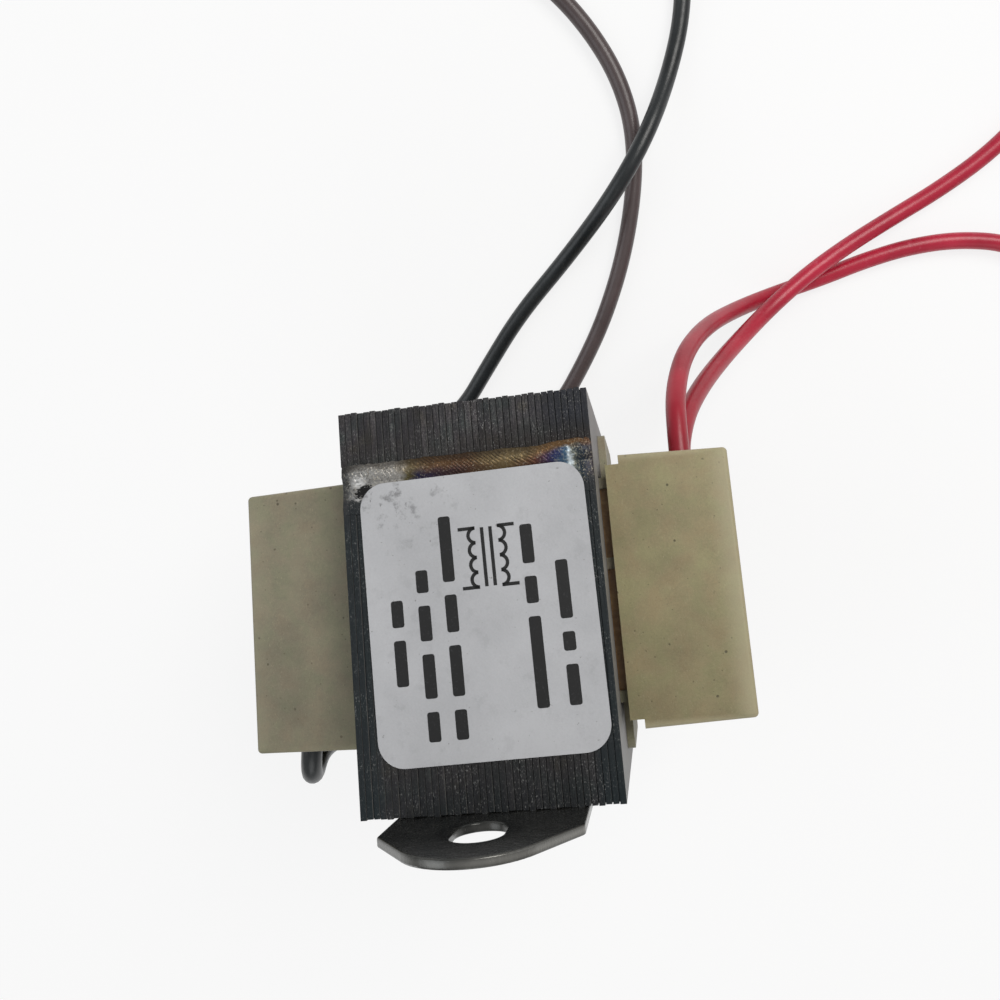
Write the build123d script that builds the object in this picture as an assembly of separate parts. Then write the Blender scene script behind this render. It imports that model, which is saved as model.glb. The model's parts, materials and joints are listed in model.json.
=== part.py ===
"""Small open-core mains transformer with a welded foot, lying on its back with the label up.

The pieces are drawn upright: X across the stack of laminations, -Y towards the label,
Z along the coil, with the middle of the core's underside at the origin. Every piece is
then laid back until it rests on the rear ear of the foot and on the core's far edge.
"""
import os
from math import atan2, cos, degrees, pi, radians, sin, tan

from build123d import *

# Laminations, millimetres
TONGUE = 15.875
OUTER_LEG = 7.9375
WINDOW_WIDTH = 7.9375
WINDOW_HEIGHT = 23.8125
YOKE = 7.9375
BAR_HEIGHT = 7.9375
SHEETS = 39
SHEET_PITCH = 25.4 / 39
SHEET_GAP = 0.09
RAGGED_EDGE = 0.12
GAP_DEPTH = 0.24

# Seam welds between the E and the I laminations
WELD_WIDTH = 4.9
WELD_SINK = 0.45
WELD_CROWN = 0.28

# Foot plate
FOOT_WIDTH = 18.5
FOOT_THICKNESS = 0.9
EAR_REACH = 14.2875
EAR_SHOULDER = 6.1
EAR_NOSE = 6.8
SHOULDER_ROUND = 0.9
SLOT_OUT = 6.35
SLOT_WIDTH = 4.8
SLOT_LENGTH = 6.8
FOOT_EDGE_ROUND = 0.2
FOOT_WELD_LEG = 0.8
FOOT_WELD_LENGTH = 12.0

# Bobbin
BOBBIN_WALL = 1.0
LEG_CLEARANCE = 0.3
WINDOW_CLEARANCE = 0.11
FLANGE = 1.2
RIB = 1.2
UPPER_SECTION = 7.4
FLANGE_STEP = 0.6
LIP_THICKNESS = 0.8
LIP_WIDTH = 17.6
LIP_HEIGHT = 5.8
LIP_CORNER = 1.5
TAB_WIDTH = 1.6

# Windings and the tape round them
COIL_BUILD = 4.5
COIL_OVERHANG = 5.9
COIL_CORNER = 5.0
TAPE = 0.35

# Coil covers, one moulding used on both sides
COVER_REACH = 13.7
COVER_HEIGHT = 28.3
COVER_MIDDLE = 19.57
COVER_WALL = 1.2
COVER_DRAFT = 1.5
COVER_EDGE = 0.5
RIM_WIDTH = 1.45
RIM_STEP = 1.0
RIM_WALL = 1.0
COVER_FIT = 0.15
COVER_ROOM = 0.08
LEAD_SLOT_WIDTH = 3.2
LEAD_SLOT_LENGTH = 26.2

# Label
LABEL_WIDTH = 22.5
LABEL_HEIGHT = 27.6
LABEL_THICKNESS = 0.1
LABEL_CORNER = 2.6
LABEL_RIGHT = 0.55
LABEL_OVER_JOINT = 0.55
LABEL_TURN = 1.0

# Leads
LEAD_DIAMETER = 2.3
STRAND_DIAMETER = 1.1
STRAND_LENGTH = 7.0

# Routes of the leads as they lie, in the finished part's own frame
BLACK_ROUTE = [
    (-21.6, 1.2, 41.9), (-21.6, -5.1, 44.1), (-21.8, -9.5, 44.4), (-22.3, -11.9, 41.9),
    (-22.9, -12.3, 37.6), (-23.6, -13.5, 32.4), (-24.2, -16.0, 26.0), (-24.5, -19.0, 18.4),
    (-24.6, -20.2, 10.4), (-24.8, -17.2, 4.0), (-24.8, -10.2, 1.2), (-24.6, -1.6, 1.2),
    (-23.6, 7.4, 1.2), (-20.6, 15.7, 1.2), (-14.4, 21.7, 1.2), (-5.6, 26.1, 1.2),
    (1.4, 34.9, 1.2), (10.1, 43.3, 1.7), (17.5, 50.5, 6.4), (22.8, 57.6, 6.4),
    (26.8, 65.6, 1.9), (29.5, 73.4, 1.2), (30.2, 82.0, 1.2), (29.3, 90.4, 1.2)]
BROWN_ROUTE = [
    (-21.5, -5.7, 22.6), (-21.5, -14.4, 25.8), (-21.5, -17.4, 25.4), (-21.5, -20.2, 21.6),
    (-21.5, -21.4, 14.8), (-21.5, -19.4, 7.6), (-21.4, -13.6, 2.2), (-21.2, -5.8, 1.2),
    (-20.8, 2.2, 1.2), (-19.4, 9.8, 1.2), (-14.6, 16.6, 1.2), (-6.8, 20.4, 1.2),
    (1.8, 21.2, 1.2), (9.3, 25.3, 1.2), (14.2, 33.2, 1.2), (18.1, 42.3, 1.2),
    (20.6, 51.3, 1.2), (21.4, 59.4, 1.2), (20.0, 66.5, 1.2), (16.9, 72.9, 1.2),
    (12.7, 78.7, 1.2), (7.5, 84.1, 1.2)]
RED_FRONT_ROUTE = [
    (21.6, 10.7, 38.6), (21.6, 22.4, 34.4), (22.2, 26.7, 29.6), (24.3, 30.1, 22.2),
    (28.0, 32.2, 13.4), (33.0, 33.4, 5.6), (39.2, 34.7, 1.4), (45.4, 36.0, 1.2),
    (51.6, 37.7, 1.2), (57.8, 38.8, 1.2), (64.2, 38.9, 1.2), (70.8, 37.6, 1.2),
    (76.2, 34.0, 1.2), (79.2, 28.2, 1.2), (80.2, 21.4, 1.2), (79.6, 14.4, 1.2),
    (78.0, 7.6, 1.2), (76.6, 0.8, 1.2), (76.4, -6.2, 1.2), (77.6, -13.2, 1.2)]
RED_REAR_ROUTE = [
    (21.6, 9.7, 36.0), (21.6, 18.6, 32.8), (22.8, 22.4, 29.0), (25.2, 24.9, 22.9),
    (28.6, 27.2, 16.0), (32.7, 29.8, 10.0), (37.4, 33.1, 6.2), (42.8, 36.8, 4.8),
    (48.8, 40.0, 3.0), (55.2, 42.9, 1.4), (62.0, 46.0, 1.2), (68.6, 49.8, 1.2),
    (74.2, 54.6, 1.2), (78.4, 60.6, 1.2), (80.6, 67.4, 1.2), (80.2, 74.6, 1.2),
    (77.4, 81.2, 1.2), (72.6, 86.4, 1.2), (66.2, 89.8, 1.2), (59.2, 91.4, 1.2)]

# Sizes that follow from the ones above
STACK = SHEETS * SHEET_PITCH
CORE_DEPTH = TONGUE + 2 * (WINDOW_WIDTH + OUTER_LEG)
JOINT_HEIGHT = YOKE + WINDOW_HEIGHT
CORE_HEIGHT = JOINT_HEIGHT + BAR_HEIGHT
FACE = CORE_DEPTH / 2
SIDE = STACK / 2
WINDOW_IN = TONGUE / 2
WINDOW_OUT = WINDOW_IN + WINDOW_WIDTH

COVER_LOW = COVER_MIDDLE - COVER_HEIGHT / 2
COVER_HIGH = COVER_MIDDLE + COVER_HEIGHT / 2
RIM_ROOM = RIM_STEP + RIM_WALL + COVER_ROOM

TUBE_IN_X = SIDE + LEG_CLEARANCE
TUBE_IN_Y = WINDOW_IN + LEG_CLEARANCE
TUBE_X = TUBE_IN_X + BOBBIN_WALL
TUBE_Y = TUBE_IN_Y + BOBBIN_WALL
BOBBIN_LOW = max(YOKE + WINDOW_CLEARANCE, COVER_LOW + RIM_ROOM)
BOBBIN_HIGH = min(JOINT_HEIGHT - WINDOW_CLEARANCE, COVER_HIGH - RIM_ROOM)
UPPER_TOP = BOBBIN_HIGH - FLANGE
RIB_TOP = UPPER_TOP - UPPER_SECTION
RIB_LOW = RIB_TOP - RIB
LOWER_LOW = BOBBIN_LOW + FLANGE

COIL_X = TUBE_X + COIL_OVERHANG
COIL_Y = TUBE_Y + COIL_BUILD
TAPE_X = COIL_X + TAPE
TAPE_Y = COIL_Y + TAPE
FLANGE_X = TAPE_X
FLANGE_Y = TAPE_Y + FLANGE_STEP

RIM_X = SIDE + LIP_THICKNESS
BOX_X = RIM_X + RIM_WIDTH
COVER_X = SIDE + COVER_REACH
RIM_IN_Y = FLANGE_Y + COVER_FIT
CAVITY_Y = RIM_IN_Y + (FLANGE_X - BOX_X) * tan(radians(COVER_DRAFT))
COVER_Y = CAVITY_Y + COVER_WALL
CAVITY_X = COVER_X - COVER_WALL
CAVITY_NARROWS = (CAVITY_X - BOX_X) * tan(radians(COVER_DRAFT))
TAB_X = CAVITY_X - COVER_FIT
TAB_Y = CAVITY_Y - CAVITY_NARROWS - COVER_FIT
LEAD_X = TAPE_X + LEAD_DIAMETER / 2

LABEL_MIDDLE = JOINT_HEIGHT + LABEL_OVER_JOINT - LABEL_HEIGHT / 2
LABEL_TOP = JOINT_HEIGHT + LABEL_OVER_JOINT + LABEL_WIDTH / 2 * sin(radians(LABEL_TURN))

# The lean of the part when it lies on its rear ear and its far edge
EAR_TIP = FACE + EAR_REACH
LEAN = degrees(atan2(EAR_REACH, CORE_HEIGHT))
LIE_FAR = sin(radians(LEAN)) * (FACE + EAR_TIP) + cos(radians(LEAN)) * CORE_HEIGHT
LIE_NEAR = -cos(radians(LEAN)) * FOOT_THICKNESS
LAY_DOWN = (
    Pos(0, sin(radians(LEAN)) * EAR_TIP - (LIE_FAR + LIE_NEAR) / 2, cos(radians(LEAN)) * EAR_TIP)
    * Rot(-(90 + LEAN), 0, 0))


def block(x0, x1, y0, y1, z0, z1):
    """Box between two corners."""
    return Pos((x0 + x1) / 2, (y0 + y1) / 2, (z0 + z1) / 2) * Box(x1 - x0, y1 - y0, z1 - z0)


def ring(outer_x, outer_y, inner_x, inner_y, low, high, corner=0.0):
    """Rectangular ring about the coil's axis, given by its half sizes."""
    outer = Rectangle(2 * outer_x, 2 * outer_y)
    if corner:
        outer = fillet(outer.vertices(), corner)
    band = outer - Rectangle(2 * inner_x, 2 * inner_y)
    return extrude(Pos(0, 0, low) * band, high - low)


# Core
def edge_line(reach, seed):
    """Edge of the stack seen end on: every sheet stands a little higher or lower."""
    points = []
    for i in range(SHEETS):
        left = -SIDE + i * SHEET_PITCH
        right = left + SHEET_PITCH
        start = left if i == 0 else left + SHEET_GAP / 2
        end = right if i == SHEETS - 1 else right - SHEET_GAP / 2
        height = reach - RAGGED_EDGE * ((i * 5 + seed) % 7) / 6
        if i:
            points.append((start, reach - GAP_DEPTH))
        points += [(start, height), (end, height)]
        if i < SHEETS - 1:
            points.append((end, reach - GAP_DEPTH))
    return points


def sheet_prism(low, high, seed):
    """Stack with ragged front and back faces between two heights."""
    back = edge_line(FACE, seed)
    front = [(x, -y) for x, y in reversed(edge_line(FACE, seed + 3))]
    return extrude(Pos(0, 0, low) * make_face(Polyline(*back, *front, close=True)), high - low)


def edge_prism(high, seed, flat):
    """Stack with one ragged face at the given height and a flat one at the other."""
    line = edge_line(abs(high - flat), seed)
    sign = 1 if high > flat else -1
    points = [(x, flat + sign * y) for x, y in line] + [(SIDE, flat), (-SIDE, flat)]
    face = make_face(Polyline(*points, close=True))
    return extrude(Plane.XZ.offset(-FACE - 1) * face, CORE_DEPTH + 2)


def weld_pocket(side):
    """Melted strip along the joint on the front (-1) or back (1) of the core."""
    inner, outer = side * (FACE - WELD_SINK), side * FACE
    y0, y1 = min(inner, outer), max(inner, outer)
    half = WELD_WIDTH / 2
    return block(-SIDE, SIDE, y0, y1, JOINT_HEIGHT - half, JOINT_HEIGHT + half)


def weld_room(side):
    """Space that the weld takes out of the sheets."""
    return weld_pocket(side) + Pos(0, side * WELD_SINK, 0) * weld_pocket(side)


def e_stack():
    body = sheet_prism(0, JOINT_HEIGHT, 0) & edge_prism(0, 1, JOINT_HEIGHT)
    for side in (-1, 1):
        y0, y1 = sorted((side * WINDOW_IN, side * WINDOW_OUT))
        body -= block(-SIDE - 1, SIDE + 1, y0, y1, YOKE, JOINT_HEIGHT + 1)
        body -= weld_room(side)
    return body


def i_stack():
    body = sheet_prism(JOINT_HEIGHT, CORE_HEIGHT, 2) & edge_prism(CORE_HEIGHT, 4, JOINT_HEIGHT)
    for side in (-1, 1):
        body -= weld_room(side)
    return body


def weld_bead(side, crown_low):
    """Seam weld: a sunk strip with a low crown from a given height up."""
    crown_high = JOINT_HEIGHT + WELD_WIDTH / 2
    middle = (crown_low + crown_high) / 2
    face = side * FACE
    profile = make_face(
        ThreePointArc((face, crown_low), (face + side * WELD_CROWN, middle), (face, crown_high))
        + Line((face, crown_high), (face, crown_low)))
    crown = extrude(Plane.YZ.offset(-SIDE) * profile, STACK)
    return weld_pocket(side) + crown


# Foot
def foot_slot(side):
    centre = side * (FACE + SLOT_OUT)
    shape = Pos(0, centre) * Rot(0, 0, 90) * SlotOverall(SLOT_LENGTH, SLOT_WIDTH)
    return extrude(Pos(0, 0, -FOOT_THICKNESS) * shape, FOOT_THICKNESS)


def foot_plate():
    """Stamped strip whose two ears taper to a round nose about their slot."""
    strip = Rectangle(FOOT_WIDTH, 2 * (FACE + EAR_SHOULDER))
    noses = [Pos(0, side * (EAR_TIP - EAR_NOSE)) * Circle(EAR_NOSE) for side in (-1, 1)]
    outline = make_hull(strip.edges() + noses[0].edges() + noses[1].edges())
    shoulders = outline.vertices().filter_by(lambda v: abs(abs(v.X) - FOOT_WIDTH / 2) < 1e-3)
    outline = fillet(shoulders, SHOULDER_ROUND)
    plate = extrude(Pos(0, 0, -FOOT_THICKNESS) * outline, FOOT_THICKNESS)
    for side in (-1, 1):
        plate -= foot_slot(side)
    levels = plate.faces().filter_by(Axis.Z).sort_by(Axis.Z)
    return fillet(levels[0].edges() + levels[-1].edges(), FOOT_EDGE_ROUND)


def foot_weld(side):
    edge = side * FOOT_WIDTH / 2
    corner = Polyline(
        (edge, 0), (edge + side * FOOT_WELD_LEG, 0), (edge, -FOOT_WELD_LEG), close=True)
    return extrude(Plane.XZ.offset(-FOOT_WELD_LENGTH / 2) * make_face(corner), FOOT_WELD_LENGTH)


# Bobbin and coil
def flange(low):
    """End flange with four tabs that locate the covers."""
    plate = Rectangle(2 * FLANGE_X, 2 * FLANGE_Y)
    for side in (-1, 1):
        plate += Pos(0, side * (TAB_Y - TAB_WIDTH / 2)) * Rectangle(2 * TAB_X, TAB_WIDTH)
    plate -= Rectangle(2 * TUBE_IN_X, 2 * TUBE_IN_Y)
    return extrude(Pos(0, 0, low) * plate, FLANGE)


def lip(side, root, tip):
    """Tongue that lies on the flat side of the core beyond an end flange."""
    outline = Pos(0, (root + tip) / 2) * Rectangle(LIP_WIDTH, abs(tip - root))
    far = outline.vertices().sort_by(Axis.Y, reverse=tip < root)[-2:]
    outline = fillet(far, LIP_CORNER)
    start = SIDE if side > 0 else -SIDE - LIP_THICKNESS
    return extrude(Plane.YZ.offset(start) * outline, LIP_THICKNESS)


def bobbin():
    body = ring(TUBE_X, TUBE_Y, TUBE_IN_X, TUBE_IN_Y, BOBBIN_LOW, BOBBIN_HIGH)
    body += flange(BOBBIN_LOW) + flange(UPPER_TOP)
    body += ring(FLANGE_X, FLANGE_Y, TUBE_IN_X, TUBE_IN_Y, RIB_LOW, RIB_TOP)
    for side in (-1, 1):
        body += lip(side, UPPER_TOP, BOBBIN_HIGH + LIP_HEIGHT)
        body += lip(side, LOWER_LOW, BOBBIN_LOW - LIP_HEIGHT)
    return body


def winding(low, high):
    return ring(COIL_X, COIL_Y, TUBE_X, TUBE_Y, low, high, COIL_CORNER)


def tape(low, high):
    outer = fillet(Rectangle(2 * TAPE_X, 2 * TAPE_Y).vertices(), COIL_CORNER + TAPE)
    inner = fillet(Rectangle(2 * COIL_X, 2 * COIL_Y).vertices(), COIL_CORNER)
    return extrude(Pos(0, 0, low) * (outer - inner), high - low)


# Covers
def cover():
    """Right-hand cover: a drafted box, open to the core, with a stepped rim and a lead slot."""
    middle = Pos(0, COVER_MIDDLE)
    outside = Plane.YZ.offset(BOX_X) * middle * Rectangle(2 * COVER_Y, COVER_HEIGHT)
    shell = extrude(outside, COVER_X - BOX_X, taper=COVER_DRAFT)
    outer_face = shell.faces().sort_by(Axis.X)[-1]
    side_edges = shell.edges().filter_by(lambda e: abs(e.tangent_at(0.5).X) > 0.9)
    shell = fillet(side_edges + outer_face.edges(), COVER_EDGE)
    rim_height = COVER_HEIGHT - 2 * RIM_STEP
    shell += extrude(
        Plane.YZ.offset(RIM_X) * middle * Rectangle(2 * COVER_Y, rim_height), RIM_WIDTH)
    inside = Plane.YZ.offset(BOX_X) * middle * Rectangle(
        2 * CAVITY_Y, COVER_HEIGHT - 2 * COVER_WALL)
    shell -= extrude(inside, CAVITY_X - BOX_X, taper=COVER_DRAFT)
    shell -= extrude(
        Plane.YZ.offset(RIM_X) * middle * Rectangle(2 * RIM_IN_Y, rim_height - 2 * RIM_WALL),
        RIM_WIDTH)
    slot = Pos(LEAD_X, 0, COVER_MIDDLE) * Rot(0, 0, 90) * SlotOverall(LEAD_SLOT_LENGTH, LEAD_SLOT_WIDTH)
    return shell - extrude(slot, COVER_HEIGHT)


def turned_over(piece):
    """The same moulding, turned half round about the front-to-back line."""
    return Pos(0, 0, 2 * COVER_MIDDLE) * Rot(0, 180, 0) * piece


# Label
def label():
    outline = fillet(Rectangle(LABEL_WIDTH, LABEL_HEIGHT).vertices(), LABEL_CORNER)
    place = Pos(LABEL_RIGHT, LABEL_MIDDLE) * Rot(0, 0, LABEL_TURN)
    return extrude(Plane.XZ.offset(FACE) * place * outline, LABEL_THICKNESS)


# Leads
def corner_radii(points):
    """Largest arc that the two runs at each corner leave room for."""
    radii = []
    for before, here, after in zip(points, points[1:], points[2:]):
        run_in, run_out = here - before, after - here
        half_turn = radians(run_in.get_angle(run_out)) / 2
        radii.append(0.45 * min(run_in.length, run_out.length) / tan(half_turn))
    return radii


def lead(name, route):
    points = [Vector(*p) for p in route]
    radii = corner_radii(points)
    path = FilletPolyline(*points, radius=radii)
    start = Plane(origin=points[0], z_dir=points[1] - points[0])
    tube = sweep(start * Circle(LEAD_DIAMETER / 2), path=path)
    length = path.length
    expected = pi * LEAD_DIAMETER ** 2 / 4 * length
    print(name, "length", round(length, 1), "volume ratio", round(tube.volume / expected, 4),
          "radii", [round(r, 1) for r in radii])
    return tube


def lead_end(route):
    """Stripped and tinned strands at the far end of a lead."""
    tip = Vector(*route[-1])
    along = (tip - Vector(*route[-2])).normalized()
    return extrude(Plane(origin=tip, z_dir=along) * Circle(STRAND_DIAMETER / 2), STRAND_LENGTH)


def main():
    upright = {
        "e_lamination_stack": e_stack(),
        "i_lamination_stack": i_stack(),
        "weld_bead_front": weld_bead(-1, LABEL_TOP),
        "weld_bead_back": weld_bead(1, JOINT_HEIGHT - WELD_WIDTH / 2),
        "foot_plate": foot_plate(),
        "foot_weld_left": foot_weld(-1),
        "foot_weld_right": foot_weld(1),
        "bobbin": bobbin(),
        "primary_winding": winding(LOWER_LOW, RIB_LOW),
        "secondary_winding": winding(RIB_TOP, UPPER_TOP),
        "primary_tape": tape(LOWER_LOW, RIB_LOW),
        "secondary_tape": tape(RIB_TOP, UPPER_TOP),
        "coil_cover_right": cover(),
        "coil_cover_left": turned_over(cover()),
        "label": label(),
    }
    pieces = {name: LAY_DOWN * shape for name, shape in upright.items()}
    routes = {
        "black_lead": BLACK_ROUTE,
        "brown_lead": BROWN_ROUTE,
        "red_lead_front": RED_FRONT_ROUTE,
        "red_lead_rear": RED_REAR_ROUTE,
    }
    for name, route in routes.items():
        pieces[name] = lead(name, route)
        pieces[name + "_end"] = lead_end(route)
    os.makedirs("parts", exist_ok=True)
    for name, shape in pieces.items():
        export_step(shape, f"parts/{name}.step")


main()
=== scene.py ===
"""Looks of the small open-core transformer: camera, leads, welds, label print, finishes and light.

Lengths are in metres unless a name ends in _MM. The upright frame is the transformer standing on
its foot: X across the stack of sheets, -Y towards the label, Z up along the coil. A zone is in
millimetres of that frame, from where a change begins to where it is full; its name ends in _ZONE,
or in _X or _Z for its direction.
"""

import json
from math import cos, pi, radians, sin, sqrt
from random import Random

import bpy
from mathutils import Matrix, Vector, noise


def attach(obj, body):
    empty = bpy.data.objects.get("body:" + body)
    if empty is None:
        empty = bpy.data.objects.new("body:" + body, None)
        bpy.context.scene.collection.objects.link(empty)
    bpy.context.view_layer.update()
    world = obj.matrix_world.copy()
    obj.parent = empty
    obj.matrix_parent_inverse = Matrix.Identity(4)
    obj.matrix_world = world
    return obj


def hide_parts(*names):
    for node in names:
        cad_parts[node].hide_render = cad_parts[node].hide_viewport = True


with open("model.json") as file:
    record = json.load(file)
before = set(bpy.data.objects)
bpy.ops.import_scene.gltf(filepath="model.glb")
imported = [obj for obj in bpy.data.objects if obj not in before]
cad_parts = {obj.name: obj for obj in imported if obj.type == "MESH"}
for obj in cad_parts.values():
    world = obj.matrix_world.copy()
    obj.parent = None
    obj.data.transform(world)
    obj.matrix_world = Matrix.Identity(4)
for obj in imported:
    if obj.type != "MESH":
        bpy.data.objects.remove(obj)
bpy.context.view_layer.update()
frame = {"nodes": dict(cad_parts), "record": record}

MM = 0.001

# Upright frame, from the foot's underside
FOOT_THICKNESS = 0.9 * MM
foot_mount = next(m for m in frame["record"]["mounts"] if m["name"] == "foot_underside")
UP = -Vector(foot_mount["axis"])
ACROSS = Vector((1.0, 0.0, 0.0))
DEPTH = UP.cross(ACROSS)
UPRIGHT = Matrix((ACROSS, DEPTH, UP)).transposed().to_4x4()
UPRIGHT.translation = Vector(foot_mount["pos_m"]) + UP * FOOT_THICKNESS


def stood_up(node):
    """Lowest and highest corner of a CAD node in the upright frame."""
    back = UPRIGHT.inverted()
    points = [back @ v.co for v in frame["nodes"][node].data.vertices]
    low = Vector([min(p[i] for p in points) for i in range(3)])
    high = Vector([max(p[i] for p in points) for i in range(3)])
    return low, high


def placed(x, y, z):
    """Point in the part's frame from millimetres in the upright frame."""
    return UPRIGHT @ (Vector((x, y, z)) * MM)


E_HIGH = stood_up("e_lamination_stack")[1]
SEAM_LOW, SEAM_HIGH = stood_up("weld_bead_back")
COVER_LOW, COVER_HIGH = stood_up("coil_cover_right")
LABEL_LOW, LABEL_HIGH = stood_up("label")
SIDE = E_HIGH.x
FACE = E_HIGH.y
SHEETS = 39
SHEET_PITCH = 2 * SIDE / SHEETS

# Camera
CAMERA_PLACE = Vector((0.01688, 0.03957, 0.13265))
CAMERA_TARGET = Vector((0.00728, 0.02237, 0.045))
CAMERA_ROLL = radians(-7.282)
CAMERA_LENS_MM = 32.08
CAMERA_SENSOR_MM = 36.0
CAMERA_SHIFT = (-0.0403, -0.0368)
CAMERA_NEAR = 0.001

camera_data = bpy.data.cameras.new("camera")
camera_data.lens = CAMERA_LENS_MM
camera_data.sensor_width = CAMERA_SENSOR_MM
camera_data.shift_x, camera_data.shift_y = CAMERA_SHIFT
camera_data.clip_start = CAMERA_NEAR
camera = bpy.data.objects.new("camera", camera_data)
bpy.context.scene.collection.objects.link(camera)
bpy.context.scene.camera = camera

backwards = (CAMERA_PLACE - CAMERA_TARGET).normalized()
sideways = Vector((0.0, 1.0, 0.0)).cross(backwards).normalized()
upwards = backwards.cross(sideways)
level = Matrix((sideways, upwards, backwards)).transposed().to_4x4()
camera.matrix_world = Matrix.Translation(CAMERA_PLACE) @ level @ Matrix.Rotation(CAMERA_ROLL, 4, "Z")

# Leads
LEAD_DIAMETER = 2.3 * MM
STRAND_LENGTH = 7.0 * MM
STRAND_BUNDLE = 1.1 * MM
STRAND_TUCK = 0.4 * MM
STRAND_TURNS = 0.75
STRAND_OPENING = 0.12
STRAND_OPEN_SHARE = 0.2
STRAND_UNEVEN = 0.05
STRAND_STEPS = 15
OUTER_STRANDS = 6

ROUTES = {
    "black_lead": [
        (-0.0216, 0.0012, 0.0419), (-0.0218, -0.0051, 0.0441), (-0.0227, -0.0095, 0.0445),
        (-0.0236, -0.0118, 0.0422), (-0.0242, -0.0114, 0.0382), (-0.0245, -0.0122, 0.0342),
        (-0.0246, -0.0141, 0.0288), (-0.0246, -0.0168, 0.0222), (-0.0246, -0.0192, 0.0148),
        (-0.0247, -0.0188, 0.0080), (-0.0248, -0.0148, 0.0028), (-0.0248, -0.0082, 0.0012),
        (-0.0246, -0.0002, 0.0012), (-0.0236, 0.0076, 0.0012), (-0.0208, 0.0144, 0.0012),
        (-0.0154, 0.0190, 0.0012), (-0.0082, 0.0231, 0.0012), (-0.0035, 0.0291, 0.0012),
        (0.0022, 0.0361, 0.0012), (0.0101, 0.0433, 0.0017), (0.0175, 0.0505, 0.0064),
        (0.0228, 0.0576, 0.0064), (0.0268, 0.0656, 0.0019), (0.0295, 0.0734, 0.0012),
        (0.0302, 0.0820, 0.0012), (0.0293, 0.0904, 0.0012)],
    "brown_lead": [
        (-0.0215, -0.0057, 0.0226), (-0.0215, -0.0144, 0.0258), (-0.0215, -0.0174, 0.0254),
        (-0.0215, -0.0202, 0.0216), (-0.0215, -0.0214, 0.0148), (-0.0215, -0.0194, 0.0076),
        (-0.0214, -0.0136, 0.0022), (-0.0212, -0.0058, 0.0012), (-0.0208, 0.0022, 0.0012),
        (-0.0192, 0.0094, 0.0012), (-0.0144, 0.0152, 0.0012), (-0.0074, 0.0170, 0.0012),
        (0.0002, 0.0178, 0.0012), (0.0064, 0.0220, 0.0012), (0.0108, 0.0281, 0.0012),
        (0.0145, 0.0342, 0.0012), (0.0181, 0.0423, 0.0012), (0.0206, 0.0513, 0.0012),
        (0.0214, 0.0594, 0.0012), (0.0200, 0.0665, 0.0012), (0.0169, 0.0729, 0.0012),
        (0.0127, 0.0787, 0.0012), (0.0075, 0.0841, 0.0012)],
    "red_lead_front": [
        (0.0216, 0.0107, 0.0386), (0.0216, 0.0224, 0.0344), (0.0222, 0.0267, 0.0296),
        (0.0243, 0.0301, 0.0222), (0.0280, 0.0322, 0.0134), (0.0330, 0.0334, 0.0056),
        (0.0392, 0.0347, 0.0014), (0.0454, 0.0360, 0.0012), (0.0516, 0.0377, 0.0012),
        (0.0578, 0.0388, 0.0012), (0.0642, 0.0389, 0.0012), (0.0708, 0.0376, 0.0012),
        (0.0762, 0.0340, 0.0012), (0.0792, 0.0282, 0.0012), (0.0802, 0.0214, 0.0012),
        (0.0796, 0.0144, 0.0012), (0.0780, 0.0076, 0.0012), (0.0766, 0.0008, 0.0012),
        (0.0764, -0.0062, 0.0012), (0.0776, -0.0132, 0.0012)],
    "red_lead_rear": [
        (0.0216, 0.0097, 0.0360), (0.0216, 0.0186, 0.0328), (0.0228, 0.0224, 0.0290),
        (0.0252, 0.0249, 0.0229), (0.0286, 0.0272, 0.0160), (0.0327, 0.0298, 0.0100),
        (0.0374, 0.0331, 0.0062), (0.0428, 0.0368, 0.0048), (0.0488, 0.0400, 0.0030),
        (0.0552, 0.0429, 0.0014), (0.0620, 0.0460, 0.0012), (0.0686, 0.0498, 0.0012),
        (0.0742, 0.0546, 0.0012), (0.0784, 0.0606, 0.0012), (0.0806, 0.0674, 0.0012),
        (0.0802, 0.0746, 0.0012), (0.0774, 0.0812, 0.0012), (0.0726, 0.0864, 0.0012),
        (0.0662, 0.0898, 0.0012), (0.0592, 0.0914, 0.0012)],
}


def new_curve(name, resolution):
    """Empty round-sectioned curve object at the origin; its points hold the section's radius."""
    data = bpy.data.curves.new(name, "CURVE")
    data.dimensions = "3D"
    data.bevel_depth = 1.0
    data.bevel_resolution = resolution
    data.use_fill_caps = True
    piece = bpy.data.objects.new(name, data)
    bpy.context.scene.collection.objects.link(piece)
    return piece


def add_spline(piece, points, thickness, smoothness):
    """NURBS line through the ends, with the points as its control points."""
    spline = piece.data.splines.new("NURBS")
    spline.points.add(len(points) - 1)
    for control, place in zip(spline.points, points):
        control.co = (*place, 1.0)
        control.radius = thickness / 2
    spline.order_u = 3
    spline.use_endpoint_u = True
    spline.resolution_u = smoothness


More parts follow.
